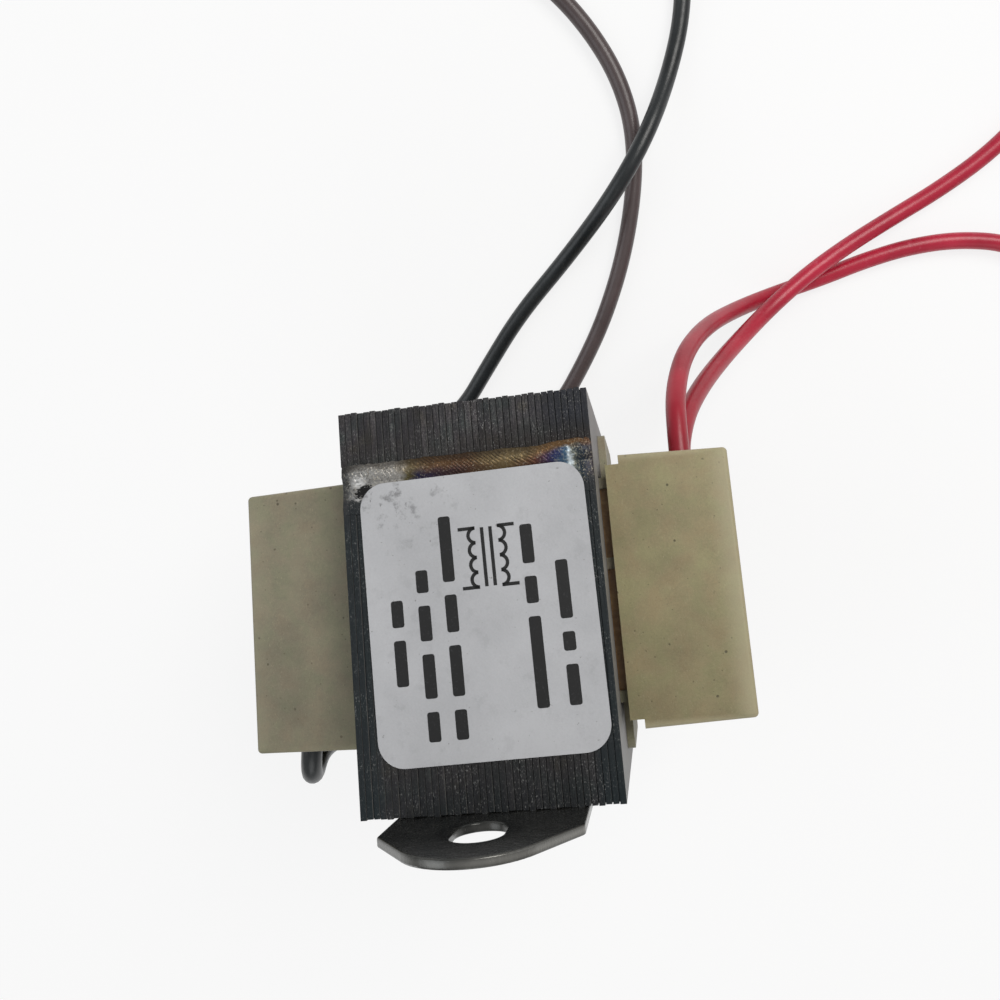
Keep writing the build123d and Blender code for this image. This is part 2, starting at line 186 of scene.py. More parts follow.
def strand_bundle(name, route):
    """Six tinned strands twisted round a seventh, opening a little at the cut end."""
    tip = Vector(route[-1])
    along = (tip - Vector(route[-2])).normalized()
    right = along.cross(Vector((0.0, 0.0, 1.0))).normalized()
    above = right.cross(along)
    strand = STRAND_BUNDLE / 3
    piece = new_curve(name, resolution=3)
    start = tip - along * STRAND_TUCK
    core = [start, tip + along * STRAND_LENGTH / 2, tip + along * STRAND_LENGTH]
    add_spline(piece, core, strand, smoothness=8)
    for i in range(OUTER_STRANDS):
        points = []
        for step in range(STRAND_STEPS + 1):
            share = step / STRAND_STEPS
            turn = 2 * pi * (i / OUTER_STRANDS + STRAND_TURNS * share)
            opened = max(0.0, share - (1.0 - STRAND_OPEN_SHARE)) / STRAND_OPEN_SHARE
            spread = strand * (1.0 + STRAND_OPENING * opened)
            reach = STRAND_LENGTH * (1.0 - STRAND_UNEVEN * (i % 3)) * share
            offset = right * cos(turn) * spread + above * sin(turn) * spread
            points.append(start + along * reach + offset)
        add_spline(piece, points, strand, smoothness=4)
    return piece


lead_pieces = {}
strand_pieces = {}
for lead_name, route in ROUTES.items():
    strands = strand_bundle(lead_name + "_strands", route)
    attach(strands, "root")
    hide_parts(lead_name + "_end")
    wire = new_curve(lead_name + "_wire", resolution=6)
    add_spline(wire, route, LEAD_DIAMETER, smoothness=12)
    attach(wire, "root")
    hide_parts(lead_name)
    lead_pieces[lead_name] = wire
    strand_pieces[lead_name] = strands


def new_mesh(name, points, faces):
    """Mesh object at the origin from points in the part's frame."""
    data = bpy.data.meshes.new(name)
    data.from_pydata([tuple(p) for p in points], [], faces)
    data.update()
    for polygon in data.polygons:
        polygon.use_smooth = True
    piece = bpy.data.objects.new(name, data)
    bpy.context.scene.collection.objects.link(piece)
    return piece


def swept(name, points, ring, flipped):
    """Closed mesh over rings of points that follow each other, with both ends filled."""
    steps = len(points) // ring - 1
    faces = []
    for i in range(steps):
        here, there = i * ring, (i + 1) * ring
        for j in range(ring):
            after = (j + 1) % ring
            faces.append((here + j, there + j, there + after, here + after))
    faces.append(tuple(range(ring)))
    faces.append(tuple(reversed(range(steps * ring, (steps + 1) * ring))))
    if flipped:
        faces = [face[::-1] for face in faces]
    return new_mesh(name, points, faces)


# Seam welds
SEED_STEP = 7.3
SEAM_COLUMNS = 640
SEAM_ROWS = 72
SEAM_DEPTH_MM = 0.44
SEAM_FLOOR_MM = 0.39
CROWN_MM = 0.27
CROWN_FILL = 0.82
CROWN_UNEVEN = 0.25
RIPPLE_PITCH_MM = 0.46
RIPPLE_HEIGHT_MM = 0.117
RIPPLE_SHARPNESS = 0.8
RIPPLE_MEAN = 0.65
RIPPLE_WAVE_MM = 0.22
RIPPLE_DRIFT_MM = 0.5
SLANT_LEFT = 0.65
SLANT_GAIN = 0.5
STRENGTH_MEAN = 0.55
STRENGTH_SPREAD = 0.9
STRENGTH_LEFT = 0.4
STRENGTH_LEAST = 0.08
LUMP_MM = 0.05
GRAIN_MM = 0.03
PEBBLE_MM = 0.05
HOLLOW_MM = 0.05
END_ROUND_MM = 1.9
END_SINK_MM = 0.36
LABEL_GAP_MM = 0.03
LIFT_MM = 0.14
LIFT_WAVE_MM = 0.12
LIFT_GRAIN_MM = 0.07
LEAST_LIFT_MM = 0.02
RIGHT_LIFT_MM = 0.32
SLANT_ZONE = (-8.0, -4.0)
FAINT_ZONE = (-9.0, -6.0)
PEBBLED_ZONE = (-8.0, -6.0)
SMOOTH_ZONE = (7.6, 9.6)
LIFT_ZONE = (7.6, 11.2)
SINK_ZONE = (SEAM_LOW.z / MM + 0.2, SEAM_LOW.z / MM + 2.6)


def rough(x, z, scale, seed):
    """Smooth noise over a weld, about -1 to 1, with so many waves to the millimetre."""
    return noise.noise(Vector((x * scale, z * scale, SEED_STEP * seed)))


def soft_step(value, low, high):
    """0 below low, 1 above high and smooth between."""
    share = min(1.0, max(0.0, (value - low) / (high - low)))
    return share * share * (3.0 - 2.0 * share)


def crest_share(place, pitch):
    """0 between two frozen ripples, 1 on a crest."""
    return abs(sin(pi * place / pitch)) ** RIPPLE_SHARPNESS


def ripple_share(x, z, top, seed):
    """Ripples of the seam, which run down to the right."""
    slant = SLANT_LEFT + SLANT_GAIN * soft_step(x, *SLANT_ZONE)
    place = x + slant * (z - top)
    place += RIPPLE_WAVE_MM * rough(x, z, 0.7, seed)
    place += RIPPLE_DRIFT_MM * rough(x, 0.0, 0.21, seed + 7)
    return crest_share(place, RIPPLE_PITCH_MM)


def ripple_strength(x, z, seed):
    """How clearly the ripples stand out: faint on the pebbled left end and the smooth right end."""
    strength = STRENGTH_MEAN + STRENGTH_SPREAD * rough(x, z, 0.8, seed + 8)
    strength *= STRENGTH_LEFT + (1.0 - STRENGTH_LEFT) * soft_step(x, *FAINT_ZONE)
    strength *= 1.0 - soft_step(x, *SMOOTH_ZONE)
    return min(1.0, max(STRENGTH_LEAST, strength))


def seam_height(x, z, top, crown_low, ripple, strength, seed):
    """How far the melted metal stands out of the core's face, in millimetres."""
    middle, half = (crown_low + top) / 2, (top - crown_low) / 2
    rise = max(0.0, 1.0 - ((z - middle) / half) ** 2)
    pebbled = 1.0 - soft_step(x, *PEBBLED_ZONE)
    height = CROWN_MM * rise * (CROWN_FILL + CROWN_UNEVEN * rough(x, z, 0.45, seed + 1))
    height += rise ** 0.5 * RIPPLE_HEIGHT_MM * (ripple - RIPPLE_MEAN) * strength
    height += LUMP_MM * rise * rough(x, z, 2.1, seed + 2)
    height += (GRAIN_MM + PEBBLE_MM * pebbled) * rise ** 0.5 * rough(x, z, 5.5, seed + 6)
    edge = SIDE / MM - abs(x)
    if edge < END_ROUND_MM:
        sink = END_SINK_MM * (1.0 - sqrt(max(0.0, 1.0 - (1.0 - edge / END_ROUND_MM) ** 2)))
        height -= sink * soft_step(z, *SINK_ZONE)
    if z < crown_low:
        height = min(height, -LABEL_GAP_MM)
        height -= HOLLOW_MM * max(0.0, rough(x, z, 1.4, seed + 3))
    return max(height, -SEAM_FLOOR_MM)


def seam(name, node, side, crown_low, seed):
    """Seam weld as a closed strip whose upper border wanders over the sheets."""
    low, high = SEAM_LOW.z / MM, SEAM_HIGH.z / MM
    reach = SIDE / MM
    points, valleys = [], []
    for i in range(SEAM_COLUMNS + 1):
        x = -reach + 2 * reach * i / SEAM_COLUMNS
        lift = LIFT_MM + LIFT_WAVE_MM * rough(x, 0.0, 0.6, seed + 4)
        lift += LIFT_GRAIN_MM * rough(x, 0.0, 2.3, seed + 5)
        lift += RIGHT_LIFT_MM * soft_step(x, *LIFT_ZONE)
        top = high + max(LEAST_LIFT_MM, lift)
        for j in range(SEAM_ROWS + 1):
            z = low + (top - low) * j / SEAM_ROWS
            ripple = ripple_share(x, z, high, seed)
            strength = ripple_strength(x, z, seed)
            stand = seam_height(x, z, top, crown_low, ripple, strength, seed)
            points.append(placed(x, side * (FACE / MM + stand), z))
            valleys.append((1.0 - ripple) * strength)
        back = side * (FACE / MM - SEAM_DEPTH_MM)
        points.append(placed(x, back, top))
        points.append(placed(x, back, low))
        valleys += [0.0, 0.0]
    piece = swept(name, points, SEAM_ROWS + 3, flipped=side > 0)
    piece.data.attributes.new("valley", "FLOAT", "POINT").data.foreach_set("value", valleys)
    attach(piece, "root")
    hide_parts(node)
    return piece


ABOVE_LABEL_MM = LABEL_HIGH.z / MM + 0.02
front_seam = seam("weld_front", "weld_bead_front", -1, crown_low=ABOVE_LABEL_MM, seed=1)
back_seam = seam("weld_back", "weld_bead_back", 1, crown_low=SEAM_LOW.z / MM, seed=5)

# Weld spatter
SPATTER_COUNT = 22
SPATTER_RINGS = 4
SPATTER_SECTORS = 10
SPATTER_FROM_EDGE_MM = 0.5
SPATTER_WIDE_MM = 2.4
SPATTER_BELOW_MM = 0.2
SPATTER_TALL_MM = 6.0
SPATTER_LEAST_MM = 0.09
SPATTER_MORE_MM = 0.2
SPATTER_SINK_MM = 0.16
SPATTER_FLAT = 0.45
SPATTER_FLAT_MORE = 0.3
SPATTER_WOBBLE = 0.25


def droplets(name, count, seed):
    """Small frozen splashes of weld metal on the label face, most of them by the left end."""
    random = Random(seed)
    points, faces = [], []
    rings, sectors = SPATTER_RINGS, SPATTER_SECTORS
    for _ in range(count):
        x = -SIDE / MM + SPATTER_FROM_EDGE_MM + SPATTER_WIDE_MM * random.random() ** 1.6
        z = SEAM_HIGH.z / MM - SPATTER_BELOW_MM - SPATTER_TALL_MM * random.random() ** 1.4
        size = SPATTER_LEAST_MM + SPATTER_MORE_MM * random.random() ** 2
        flat = SPATTER_FLAT + SPATTER_FLAT_MORE * random.random()
        ground = -FACE / MM + SPATTER_SINK_MM
        first = len(points)
        for r in range(rings):
            tilt = pi / 2 * r / rings
            for s in range(sectors):
                turn = 2 * pi * s / sectors
                wave = noise.noise(Vector((3 * x + cos(turn), 3 * z + sin(turn), r)))
                reach = size * cos(tilt) * (1.0 + SPATTER_WOBBLE * wave)
                y = ground - size * flat * sin(tilt)
                points.append(placed(x + reach * cos(turn), y, z + reach * sin(turn)))
        points.append(placed(x, ground - size * flat, z))
        faces.append(tuple(first + s for s in reversed(range(sectors))))
        for r in range(rings):
            here, above = first + r * sectors, first + (r + 1) * sectors
            for s in range(sectors):
                t = (s + 1) % sectors
                if r < rings - 1:
                    faces.append((here + s, here + t, above + t, above + s))
                else:
                    faces.append((here + s, here + t, above))
    piece = new_mesh(name, points, faces)
    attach(piece, "root")
    return piece


spatter = droplets("weld_spatter", SPATTER_COUNT, seed=11)

# Foot welds
BEAD_PITCH_MM = 0.85
BEAD_RIPPLE_MM = 0.09
BEAD_END_MM = 1.1
BEAD_STEPS = 180
BEAD_ARC = 12
BEAD_ROOT_MM = 0.12
BEAD_HOLLOW_MM = 0.12
BEAD_GRAIN_MM = 0.04
BEAD_SAG_MM = 0.35
BEAD_WANDER_MM = 0.2
BEAD_FILL = 0.94
BEAD_UNEVEN = 0.08
BEAD_END_SHARE = 0.25


def foot_bead(name, node, side, seed):
    """Rippled fillet weld in the corner between the foot's edge and the core's underside."""
    low, high = stood_up(node)
    low, high = low / MM, high / MM
    corner = low.x if side > 0 else high.x
    leg = high.x - low.x
    points = []
    for i in range(BEAD_STEPS + 1):
        y = low.y + (high.y - low.y) * i / BEAD_STEPS
        from_end = min(1.0, min(y - low.y, high.y - y) / BEAD_END_MM)
        rounded = sqrt(max(0.0, 1.0 - (1.0 - from_end) ** 2))
        swell = BEAD_END_SHARE + (1.0 - BEAD_END_SHARE) * rounded
        for j in range(BEAD_ARC + 1):
            turn = pi / 2 * j / BEAD_ARC
            bulge = sin(2 * turn)
            place = y + BEAD_SAG_MM * bulge + BEAD_WANDER_MM * rough(y, turn, 0.6, seed)
            relief = BEAD_RIPPLE_MM * (crest_share(place, BEAD_PITCH_MM) - RIPPLE_MEAN)
            relief += BEAD_GRAIN_MM * rough(y, turn, 2.6, seed + 2) - BEAD_HOLLOW_MM
            reach = leg * swell * (BEAD_FILL + BEAD_UNEVEN * rough(y, turn, 0.9, seed + 1))
            reach += bulge * relief
            points.append(placed(corner + side * reach * sin(turn), y, high.z - reach * cos(turn)))
        points.append(placed(corner - side * BEAD_ROOT_MM, y, high.z + BEAD_ROOT_MM))
    piece = swept(name, points, BEAD_ARC + 2, flipped=side < 0)
    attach(piece, "root")
    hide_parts(node)
    return piece


left_bead = foot_bead("foot_bead_left", "foot_weld_left", -1, seed=21)
right_bead = foot_bead("foot_bead_right", "foot_weld_right", 1, seed=27)

# Label print: plain bars in rows that run up the label, and a two-coil circuit sign
PRINT_STAND = 0.012 * MM
BAR_TALL_MM = 1.2
BAR_CORNER_MM = 0.22
BAR_BEVEL_SHARE = 0.3
WORD_GAP_MM = 1.25
LINE_MM = 0.34
LABEL_TURN = radians(1.0)
# Place across the label, lower end and word lengths of each row, in millimetres
PRINT_ROWS = [
    (-8.3, -6.2, (4.4, 2.6)),
    (-5.6, -11.6, (2.8, 4.2, 3.4, 2.2)),
    (-2.9, -11.6, (2.8, 4.8, 3.6, 6.4)),
    (5.1, -9.4, (8.6, 2.6, 3.8)),
    (8.2, -9.4, (3.8, 1.8, 5.6)),
]
SIGN_PLACE_MM = (1.2, 5.4)
SIGN_LOOPS = 4
SIGN_LOOP_MM = 0.72
SIGN_LOOP_STEPS = 12
SIGN_LOOP_SPAN = 0.97 * pi
SIGN_CORE_MM = 0.42
SIGN_COIL_MM = 1.1
SIGN_TAIL_MM = 1.7


def label_print(name):
    """Dark bars where a rating plate has its print, and the sign for two coils on a core."""
    centre = (LABEL_LOW + LABEL_HIGH) / 2
    turn = Matrix.Rotation(-LABEL_TURN, 3, "Y")
    outside = LABEL_LOW.y - PRINT_STAND
    inside = (LABEL_LOW.y + LABEL_HIGH.y) / 2
    points, faces = [], []

    def put(outline):
        """Flat shape from its left and right border, point by point, sunk into the label."""
        first, count = len(points), len(outline)
        for depth in (outside, inside):
            for pair in outline:
                for x, z in pair:
                    flat = turn @ Vector((x * MM, 0.0, z * MM))
                    points.append(UPRIGHT @ Vector((centre.x + flat.x, depth, centre.z + flat.z)))
        under = 2 * count
        for i in range(count - 1):
            a, b, c, d = (first + 2 * i + k for k in (0, 1, 3, 2))
            faces.append((a, b, c, d))
            faces.append((d + under, c + under, b + under, a + under))
            faces.append((a, d, d + under, a + under))
            faces.append((c, b, b + under, c + under))
        for a, b in ((first, first + 1), (first + 2 * count - 1, first + 2 * count - 2)):
            faces.append((b, a, a + under, b + under))

    def put_box(left, right, low, high):
        put([((left, low), (right, low)), ((left, high), (right, high))])

    half, bevel = BAR_TALL_MM / 2, BAR_BEVEL_SHARE * BAR_CORNER_MM
    corner = ((0.0, BAR_CORNER_MM), (bevel, bevel), (BAR_CORNER_MM, 0.0))
    for across, low, words in PRINT_ROWS:
        for length in words:
            levels = [(low + up, inset) for up, inset in corner]
            levels += [(low + length - up, inset) for up, inset in reversed(corner)]
            put([((across - half + inset, z), (across + half - inset, z)) for z, inset in levels])
            low += length + WORD_GAP_MM

    sign_x, sign_z = SIGN_PLACE_MM
    line = LINE_MM / 2
    reach = SIGN_LOOP_MM * SIGN_LOOPS
    for side in (-1, 1):
        bar = sign_x + side * SIGN_CORE_MM
        put_box(bar - line, bar + line, sign_z - reach, sign_z + reach)
        foot = sign_x + side * SIGN_COIL_MM
        for loop in range(SIGN_LOOPS):
            middle = sign_z - reach + (2 * loop + 1) * SIGN_LOOP_MM
            outline = []
            for step in range(SIGN_LOOP_STEPS + 1):
                angle = SIGN_LOOP_SPAN * (step / SIGN_LOOP_STEPS - 0.5)
                border = []
                for radius in (SIGN_LOOP_MM - line, SIGN_LOOP_MM + line):
                    border.append((foot + side * radius * cos(angle), middle + radius * sin(angle)))
                outline.append(tuple(border if side > 0 else border[::-1]))
            put(outline)
        tail = foot + side * SIGN_TAIL_MM
        for level in (sign_z - reach, sign_z + reach):
            put_box(min(foot, tail), max(foot, tail), level - line, level + line)
    piece = new_mesh(name, points, faces)
    for polygon in piece.data.polygons:
        polygon.use_smooth = False
    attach(piece, "root")
    return piece


print_bars = label_print("label_print")


# Finishes
def srgb(red, green, blue):
    """Linear colour from the 0 to 255 values that a screen shows."""
    def linear(value):
        share = value / 255
        return share / 12.92 if share <= 0.04045 else ((share + 0.055) / 1.055) ** 2.4
    return (linear(red), linear(green), linear(blue), 1.0)


class Finish:
    """One procedural material, built node by node."""

    def __init__(self, name):
        self.material = bpy.data.materials.new(name)
        self.material.use_nodes = True
        self.tree = self.material.node_tree
        self.shader = self.tree.nodes["Principled BSDF"]

    def feed(self, socket, value):
        """Link another node's output to the socket, or set the socket's own value."""
        if isinstance(value, bpy.types.NodeSocket):
            self.tree.links.new(value, socket)
        else:
            socket.default_value = value

    def add(self, kind, inputs, output=0, **settings):
        """New node with its inputs fed; gives one of its outputs."""
        node = self.tree.nodes.new(kind)
        for key, value in settings.items():
            setattr(node, key, value)
        for key, value in inputs.items():
            self.feed(node.inputs[key], value)
        return node.outputs[output]

    def math(self, operation, *values):
        return self.add("ShaderNodeMath", dict(enumerate(values)), operation=operation)

    def plus(self, first, second):
        return self.math("ADD", first, second)

    def minus(self, first, second):
        return self.math("SUBTRACT", first, second)

    def times(self, first, second):
        return self.math("MULTIPLY", first, second)

    def larger(self, first, second):
        return self.math("MAXIMUM", first, second)

    def absolute(self, value):
        return self.math("ABSOLUTE", value)

    def inverse(self, value):
        """1 where the value is 0, and 0 where it is 1."""
        return self.math("SUBTRACT", 1.0, value)

    def upright(self):
        """Place in the upright frame, in millimetres."""
        return self.add(
            "ShaderNodeMapping",
            {
                "Vector": self.add("ShaderNodeTexCoord", {}, "Object"),
                "Location": UPRIGHT.translation,
                "Rotation": UPRIGHT.to_euler(),
                "Scale": (MM, MM, MM),
            },
            vector_type="TEXTURE")

    def axes(self, vector):
        """The X, Y and Z of a vector."""
        node = self.tree.nodes.new("ShaderNodeSeparateXYZ")
        self.feed(node.inputs[0], vector)
        return node.outputs[0], node.outputs[1], node.outputs[2]

    def stretched(self, vector, scale):
        return self.add("ShaderNodeVectorMath", {0: vector, 1: scale}, operation="MULTIPLY")

    def noise(self, vector, scale, detail=3.0, roughness=0.55):
        """Cloudy noise, about 0.3 to 0.7."""
        return self.add(
            "ShaderNodeTexNoise",
            {"Vector": vector, "Scale": scale, "Detail": detail, "Roughness": roughness})

    def cells(self, vector, scale):
        """Distance to the nearest of scattered points."""
        return self.add("ShaderNodeTexVoronoi", {"Vector": vector, "Scale": scale})

    def step(self, value, low, high):
        """0 below low, 1 above high and smooth between."""
        return self.add(
            "ShaderNodeMapRange",
            {"Value": value, "From Min": low, "From Max": high},
            interpolation_type="SMOOTHSTEP")

    def near(self, value, centre, reach):
        """1 at the centre, falling to 0 at a distance."""
        away = self.absolute(self.minus(value, centre))
        return self.inverse(self.step(away, 0.0, reach))

    def spot(self, x, z, centre, reach):
        """1 at a place on the core's face, falling to 0 at a distance each way."""
        return self.times(self.near(x, centre[0], reach[0]), self.near(z, centre[1], reach[1]))

    def colours(self, factor, *stops):
        """Colour ramp through the stops, each a place and a colour."""
        node = self.tree.nodes.new("ShaderNodeValToRGB")
        while len(node.color_ramp.elements) < len(stops):
            node.color_ramp.elements.new(1.0)
        for element, (place, colour) in zip(node.color_ramp.elements, stops):
            element.position = place
            element.color = colour
        self.feed(node.inputs[0], factor)
        return node.outputs[0]

    def mix(self, factor, first, second, blend="MIX"):
        return self.add(
            "ShaderNodeMix", {0: factor, 6: first, 7: second}, 2, data_type="RGBA", blend_type=blend)

    def stain(self, colour, where, share, second):
        """The colour, with a share of a second one where a mask says."""
        return self.mix(self.times(where, share), colour, second)

    def tinted(self, colour, tint):
        """The colour seen through a tint."""
        return self.mix(1.0, colour, tint, "MULTIPLY")

    def bump(self, height, depth, strength=1.0):
        inputs = {"Height": height, "Distance": depth, "Strength": strength}
        return self.add("ShaderNodeBump", inputs)

    def set(self, **values):
        """Feed inputs of the surface, named with _ for each space."""
        for key, value in values.items():
            self.feed(self.shader.inputs[key.replace("_", " ")], value)

    def on(self, *pieces):
        """Make this the only material of the pieces."""
        for piece in pieces:
            piece.data.materials.clear()
            piece.data.materials.append(self.material)


# Sheet edges
LOW_PART_Z = (27.0, 35.0)
FOOT_END_Z = (0.5, 6.0)
RIGHT_END_X = (5.5, 10.5)
RIGHT_END_Z = (33.0, 36.0)
BESIDE_LABEL_X = (9.8, 11.0)
SCORCHED_X = (-4.0, 5.0)
SCORCH_MIDDLE_MM = SEAM_HIGH.z / MM + 1.2
SCORCH_REACH_MM = 3.6
FLECKS_MIDDLE_MM = 3.5
FLECKS_REACH_MM = 9.0
E_SEED = 3.0
I_SEED = 57.0


def sheet_edges(f, place, x, z, seed):
    """Colour and relief of the sheets' sheared edges: charcoal, with dark lines at the gaps."""
    along = f.math("DIVIDE", f.plus(x, SIDE / MM), SHEET_PITCH / MM)
    tone = f.add(
        "ShaderNodeTexWhiteNoise", {"W": f.plus(f.math("FLOOR", along), seed)},
        noise_dimensions="1D")
    streak = f.noise(f.stretched(place, (5.5, 0.32, 0.32)), 1.0, 4.0)
    grain = f.noise(place, 5.5, 4.0, 0.7)
    blend = f.plus(f.times(tone, 0.09), f.times(streak, 0.36))
    blend = f.plus(blend, f.times(grain, 0.55))
    colour = f.colours(
        blend,
        (0.32, srgb(28, 28, 30)), (0.50, srgb(54, 54, 55)),
        (0.60, srgb(78, 77, 76)), (0.74, srgb(134, 133, 130)))
    hue = f.colours(
        f.noise(f.stretched(place, (0.35, 0.3, 0.3)), 1.0, 2.0),
        (0.34, srgb(228, 250, 246)), (0.47, srgb(244, 243, 247)),
        (0.56, srgb(247, 239, 247)), (0.68, srgb(252, 243, 228)))
    colour = f.tinted(colour, hue)
    off_gap = f.math("PINGPONG", along, 0.5)
    gap = f.inverse(f.step(off_gap, 0.02, 0.17))
    gap = f.times(gap, f.step(f.noise(f.stretched(place, (1.6, 0.5, 0.5)), 1.0, 3.0), 0.16, 0.46))
    colour = f.stain(colour, gap, 0.8, srgb(15, 15, 17))

    low_part = f.inverse(f.step(z, *LOW_PART_Z))
    colour = f.stain(colour, low_part, 0.55, srgb(26, 24, 23))
    foot_end = f.inverse(f.step(z, *FOOT_END_Z))
    colour = f.stain(colour, foot_end, 0.4, srgb(14, 25, 31))
    right_end = f.times(f.step(x, *RIGHT_END_X), f.step(z, *RIGHT_END_Z))
    colour = f.stain(colour, right_end, 0.7, srgb(24, 30, 40))
    beside_label = f.times(f.step(f.absolute(x), *BESIDE_LABEL_X), low_part)
    colour = f.stain(colour, beside_label, 0.65, srgb(20, 33, 37))
    wander = f.times(f.noise(f.stretched(place, (1.1, 0.5, 0.5)), 1.0, 4.0), 2.4)
    scorch = f.near(f.plus(z, wander), SCORCH_MIDDLE_MM, SCORCH_REACH_MM)
    scorch = f.times(scorch, f.plus(0.45, f.times(f.step(x, *SCORCHED_X), 0.4)))
    colour = f.mix(scorch, colour, srgb(30, 25, 21))

    crowd = f.step(f.noise(f.stretched(place, (0.5, 0.35, 0.35)), 1.0, 3.0, 0.6), 0.36, 0.66)
    mid_sheets = f.near(x, FLECKS_MIDDLE_MM, FLECKS_REACH_MM)
    crowd = f.plus(f.times(crowd, 0.5), f.times(mid_sheets, 0.25))
    flecks = f.step(f.noise(f.stretched(place, (1.5, 1.0, 1.0)), 5.2, 3.0, 0.7), 0.57, 0.68)
    colour = f.stain(colour, flecks, crowd, srgb(156, 156, 154))
    return colour, f.minus(f.plus(streak, grain), f.times(gap, 0.6))


def lamination_steel(name, seed):
    """Sheared edges of blued sheets, with grey faces on the outer two."""
    f = Finish(name)
    place = f.upright()
    x, _, z = f.axes(place)
    edges, relief = sheet_edges(f, place, x, z, seed)
    facing = f.axes(f.add("ShaderNodeTexCoord", {}, "Normal"))[0]
    flat_side = f.step(f.absolute(facing), 0.75, 0.95)
    mottle = f.noise(place, 0.35, 6.0, 0.6)
    faces = f.colours(
        mottle, (0.3, srgb(112, 112, 113)), (0.5, srgb(128, 127, 126)), (0.7, srgb(141, 139, 137)))
    marks = f.step(f.noise(f.stretched(place, (1.0, 0.3, 2.4)), 1.4, 3.0), 0.64, 0.72)
    faces = f.mix(f.times(marks, 0.35), faces, srgb(74, 72, 72))
    f.set(
        Base_Color=f.mix(flat_side, edges, faces),
        Metallic=0.3,
        Roughness=f.plus(0.42, f.times(mottle, 0.25)),
        Normal=f.bump(f.mix(flat_side, relief, mottle), 0.05 * MM, 0.7),
        Specular_IOR_Level=0.35)
    return f


# Weld metal
BARE_X = (-7.4, -5.6)
CRATER_X = (10.6, 11.6)
BLUE_X = (5.5, 11.0)
TINT_Z = (33.0, 34.0)
BLUE_RISE_MM = (1.15, 0.75)
SCAR_SLOPE = 0.35
RIM_Z = (34.05, 34.75)
RIM_FADE_X = (6.0, 8.0)
LEFT_SHADE_X = (-11.9, -10.9)
BORDER_Z = (SEAM_LOW.z / MM + 0.9, SEAM_LOW.z / MM + 1.7)


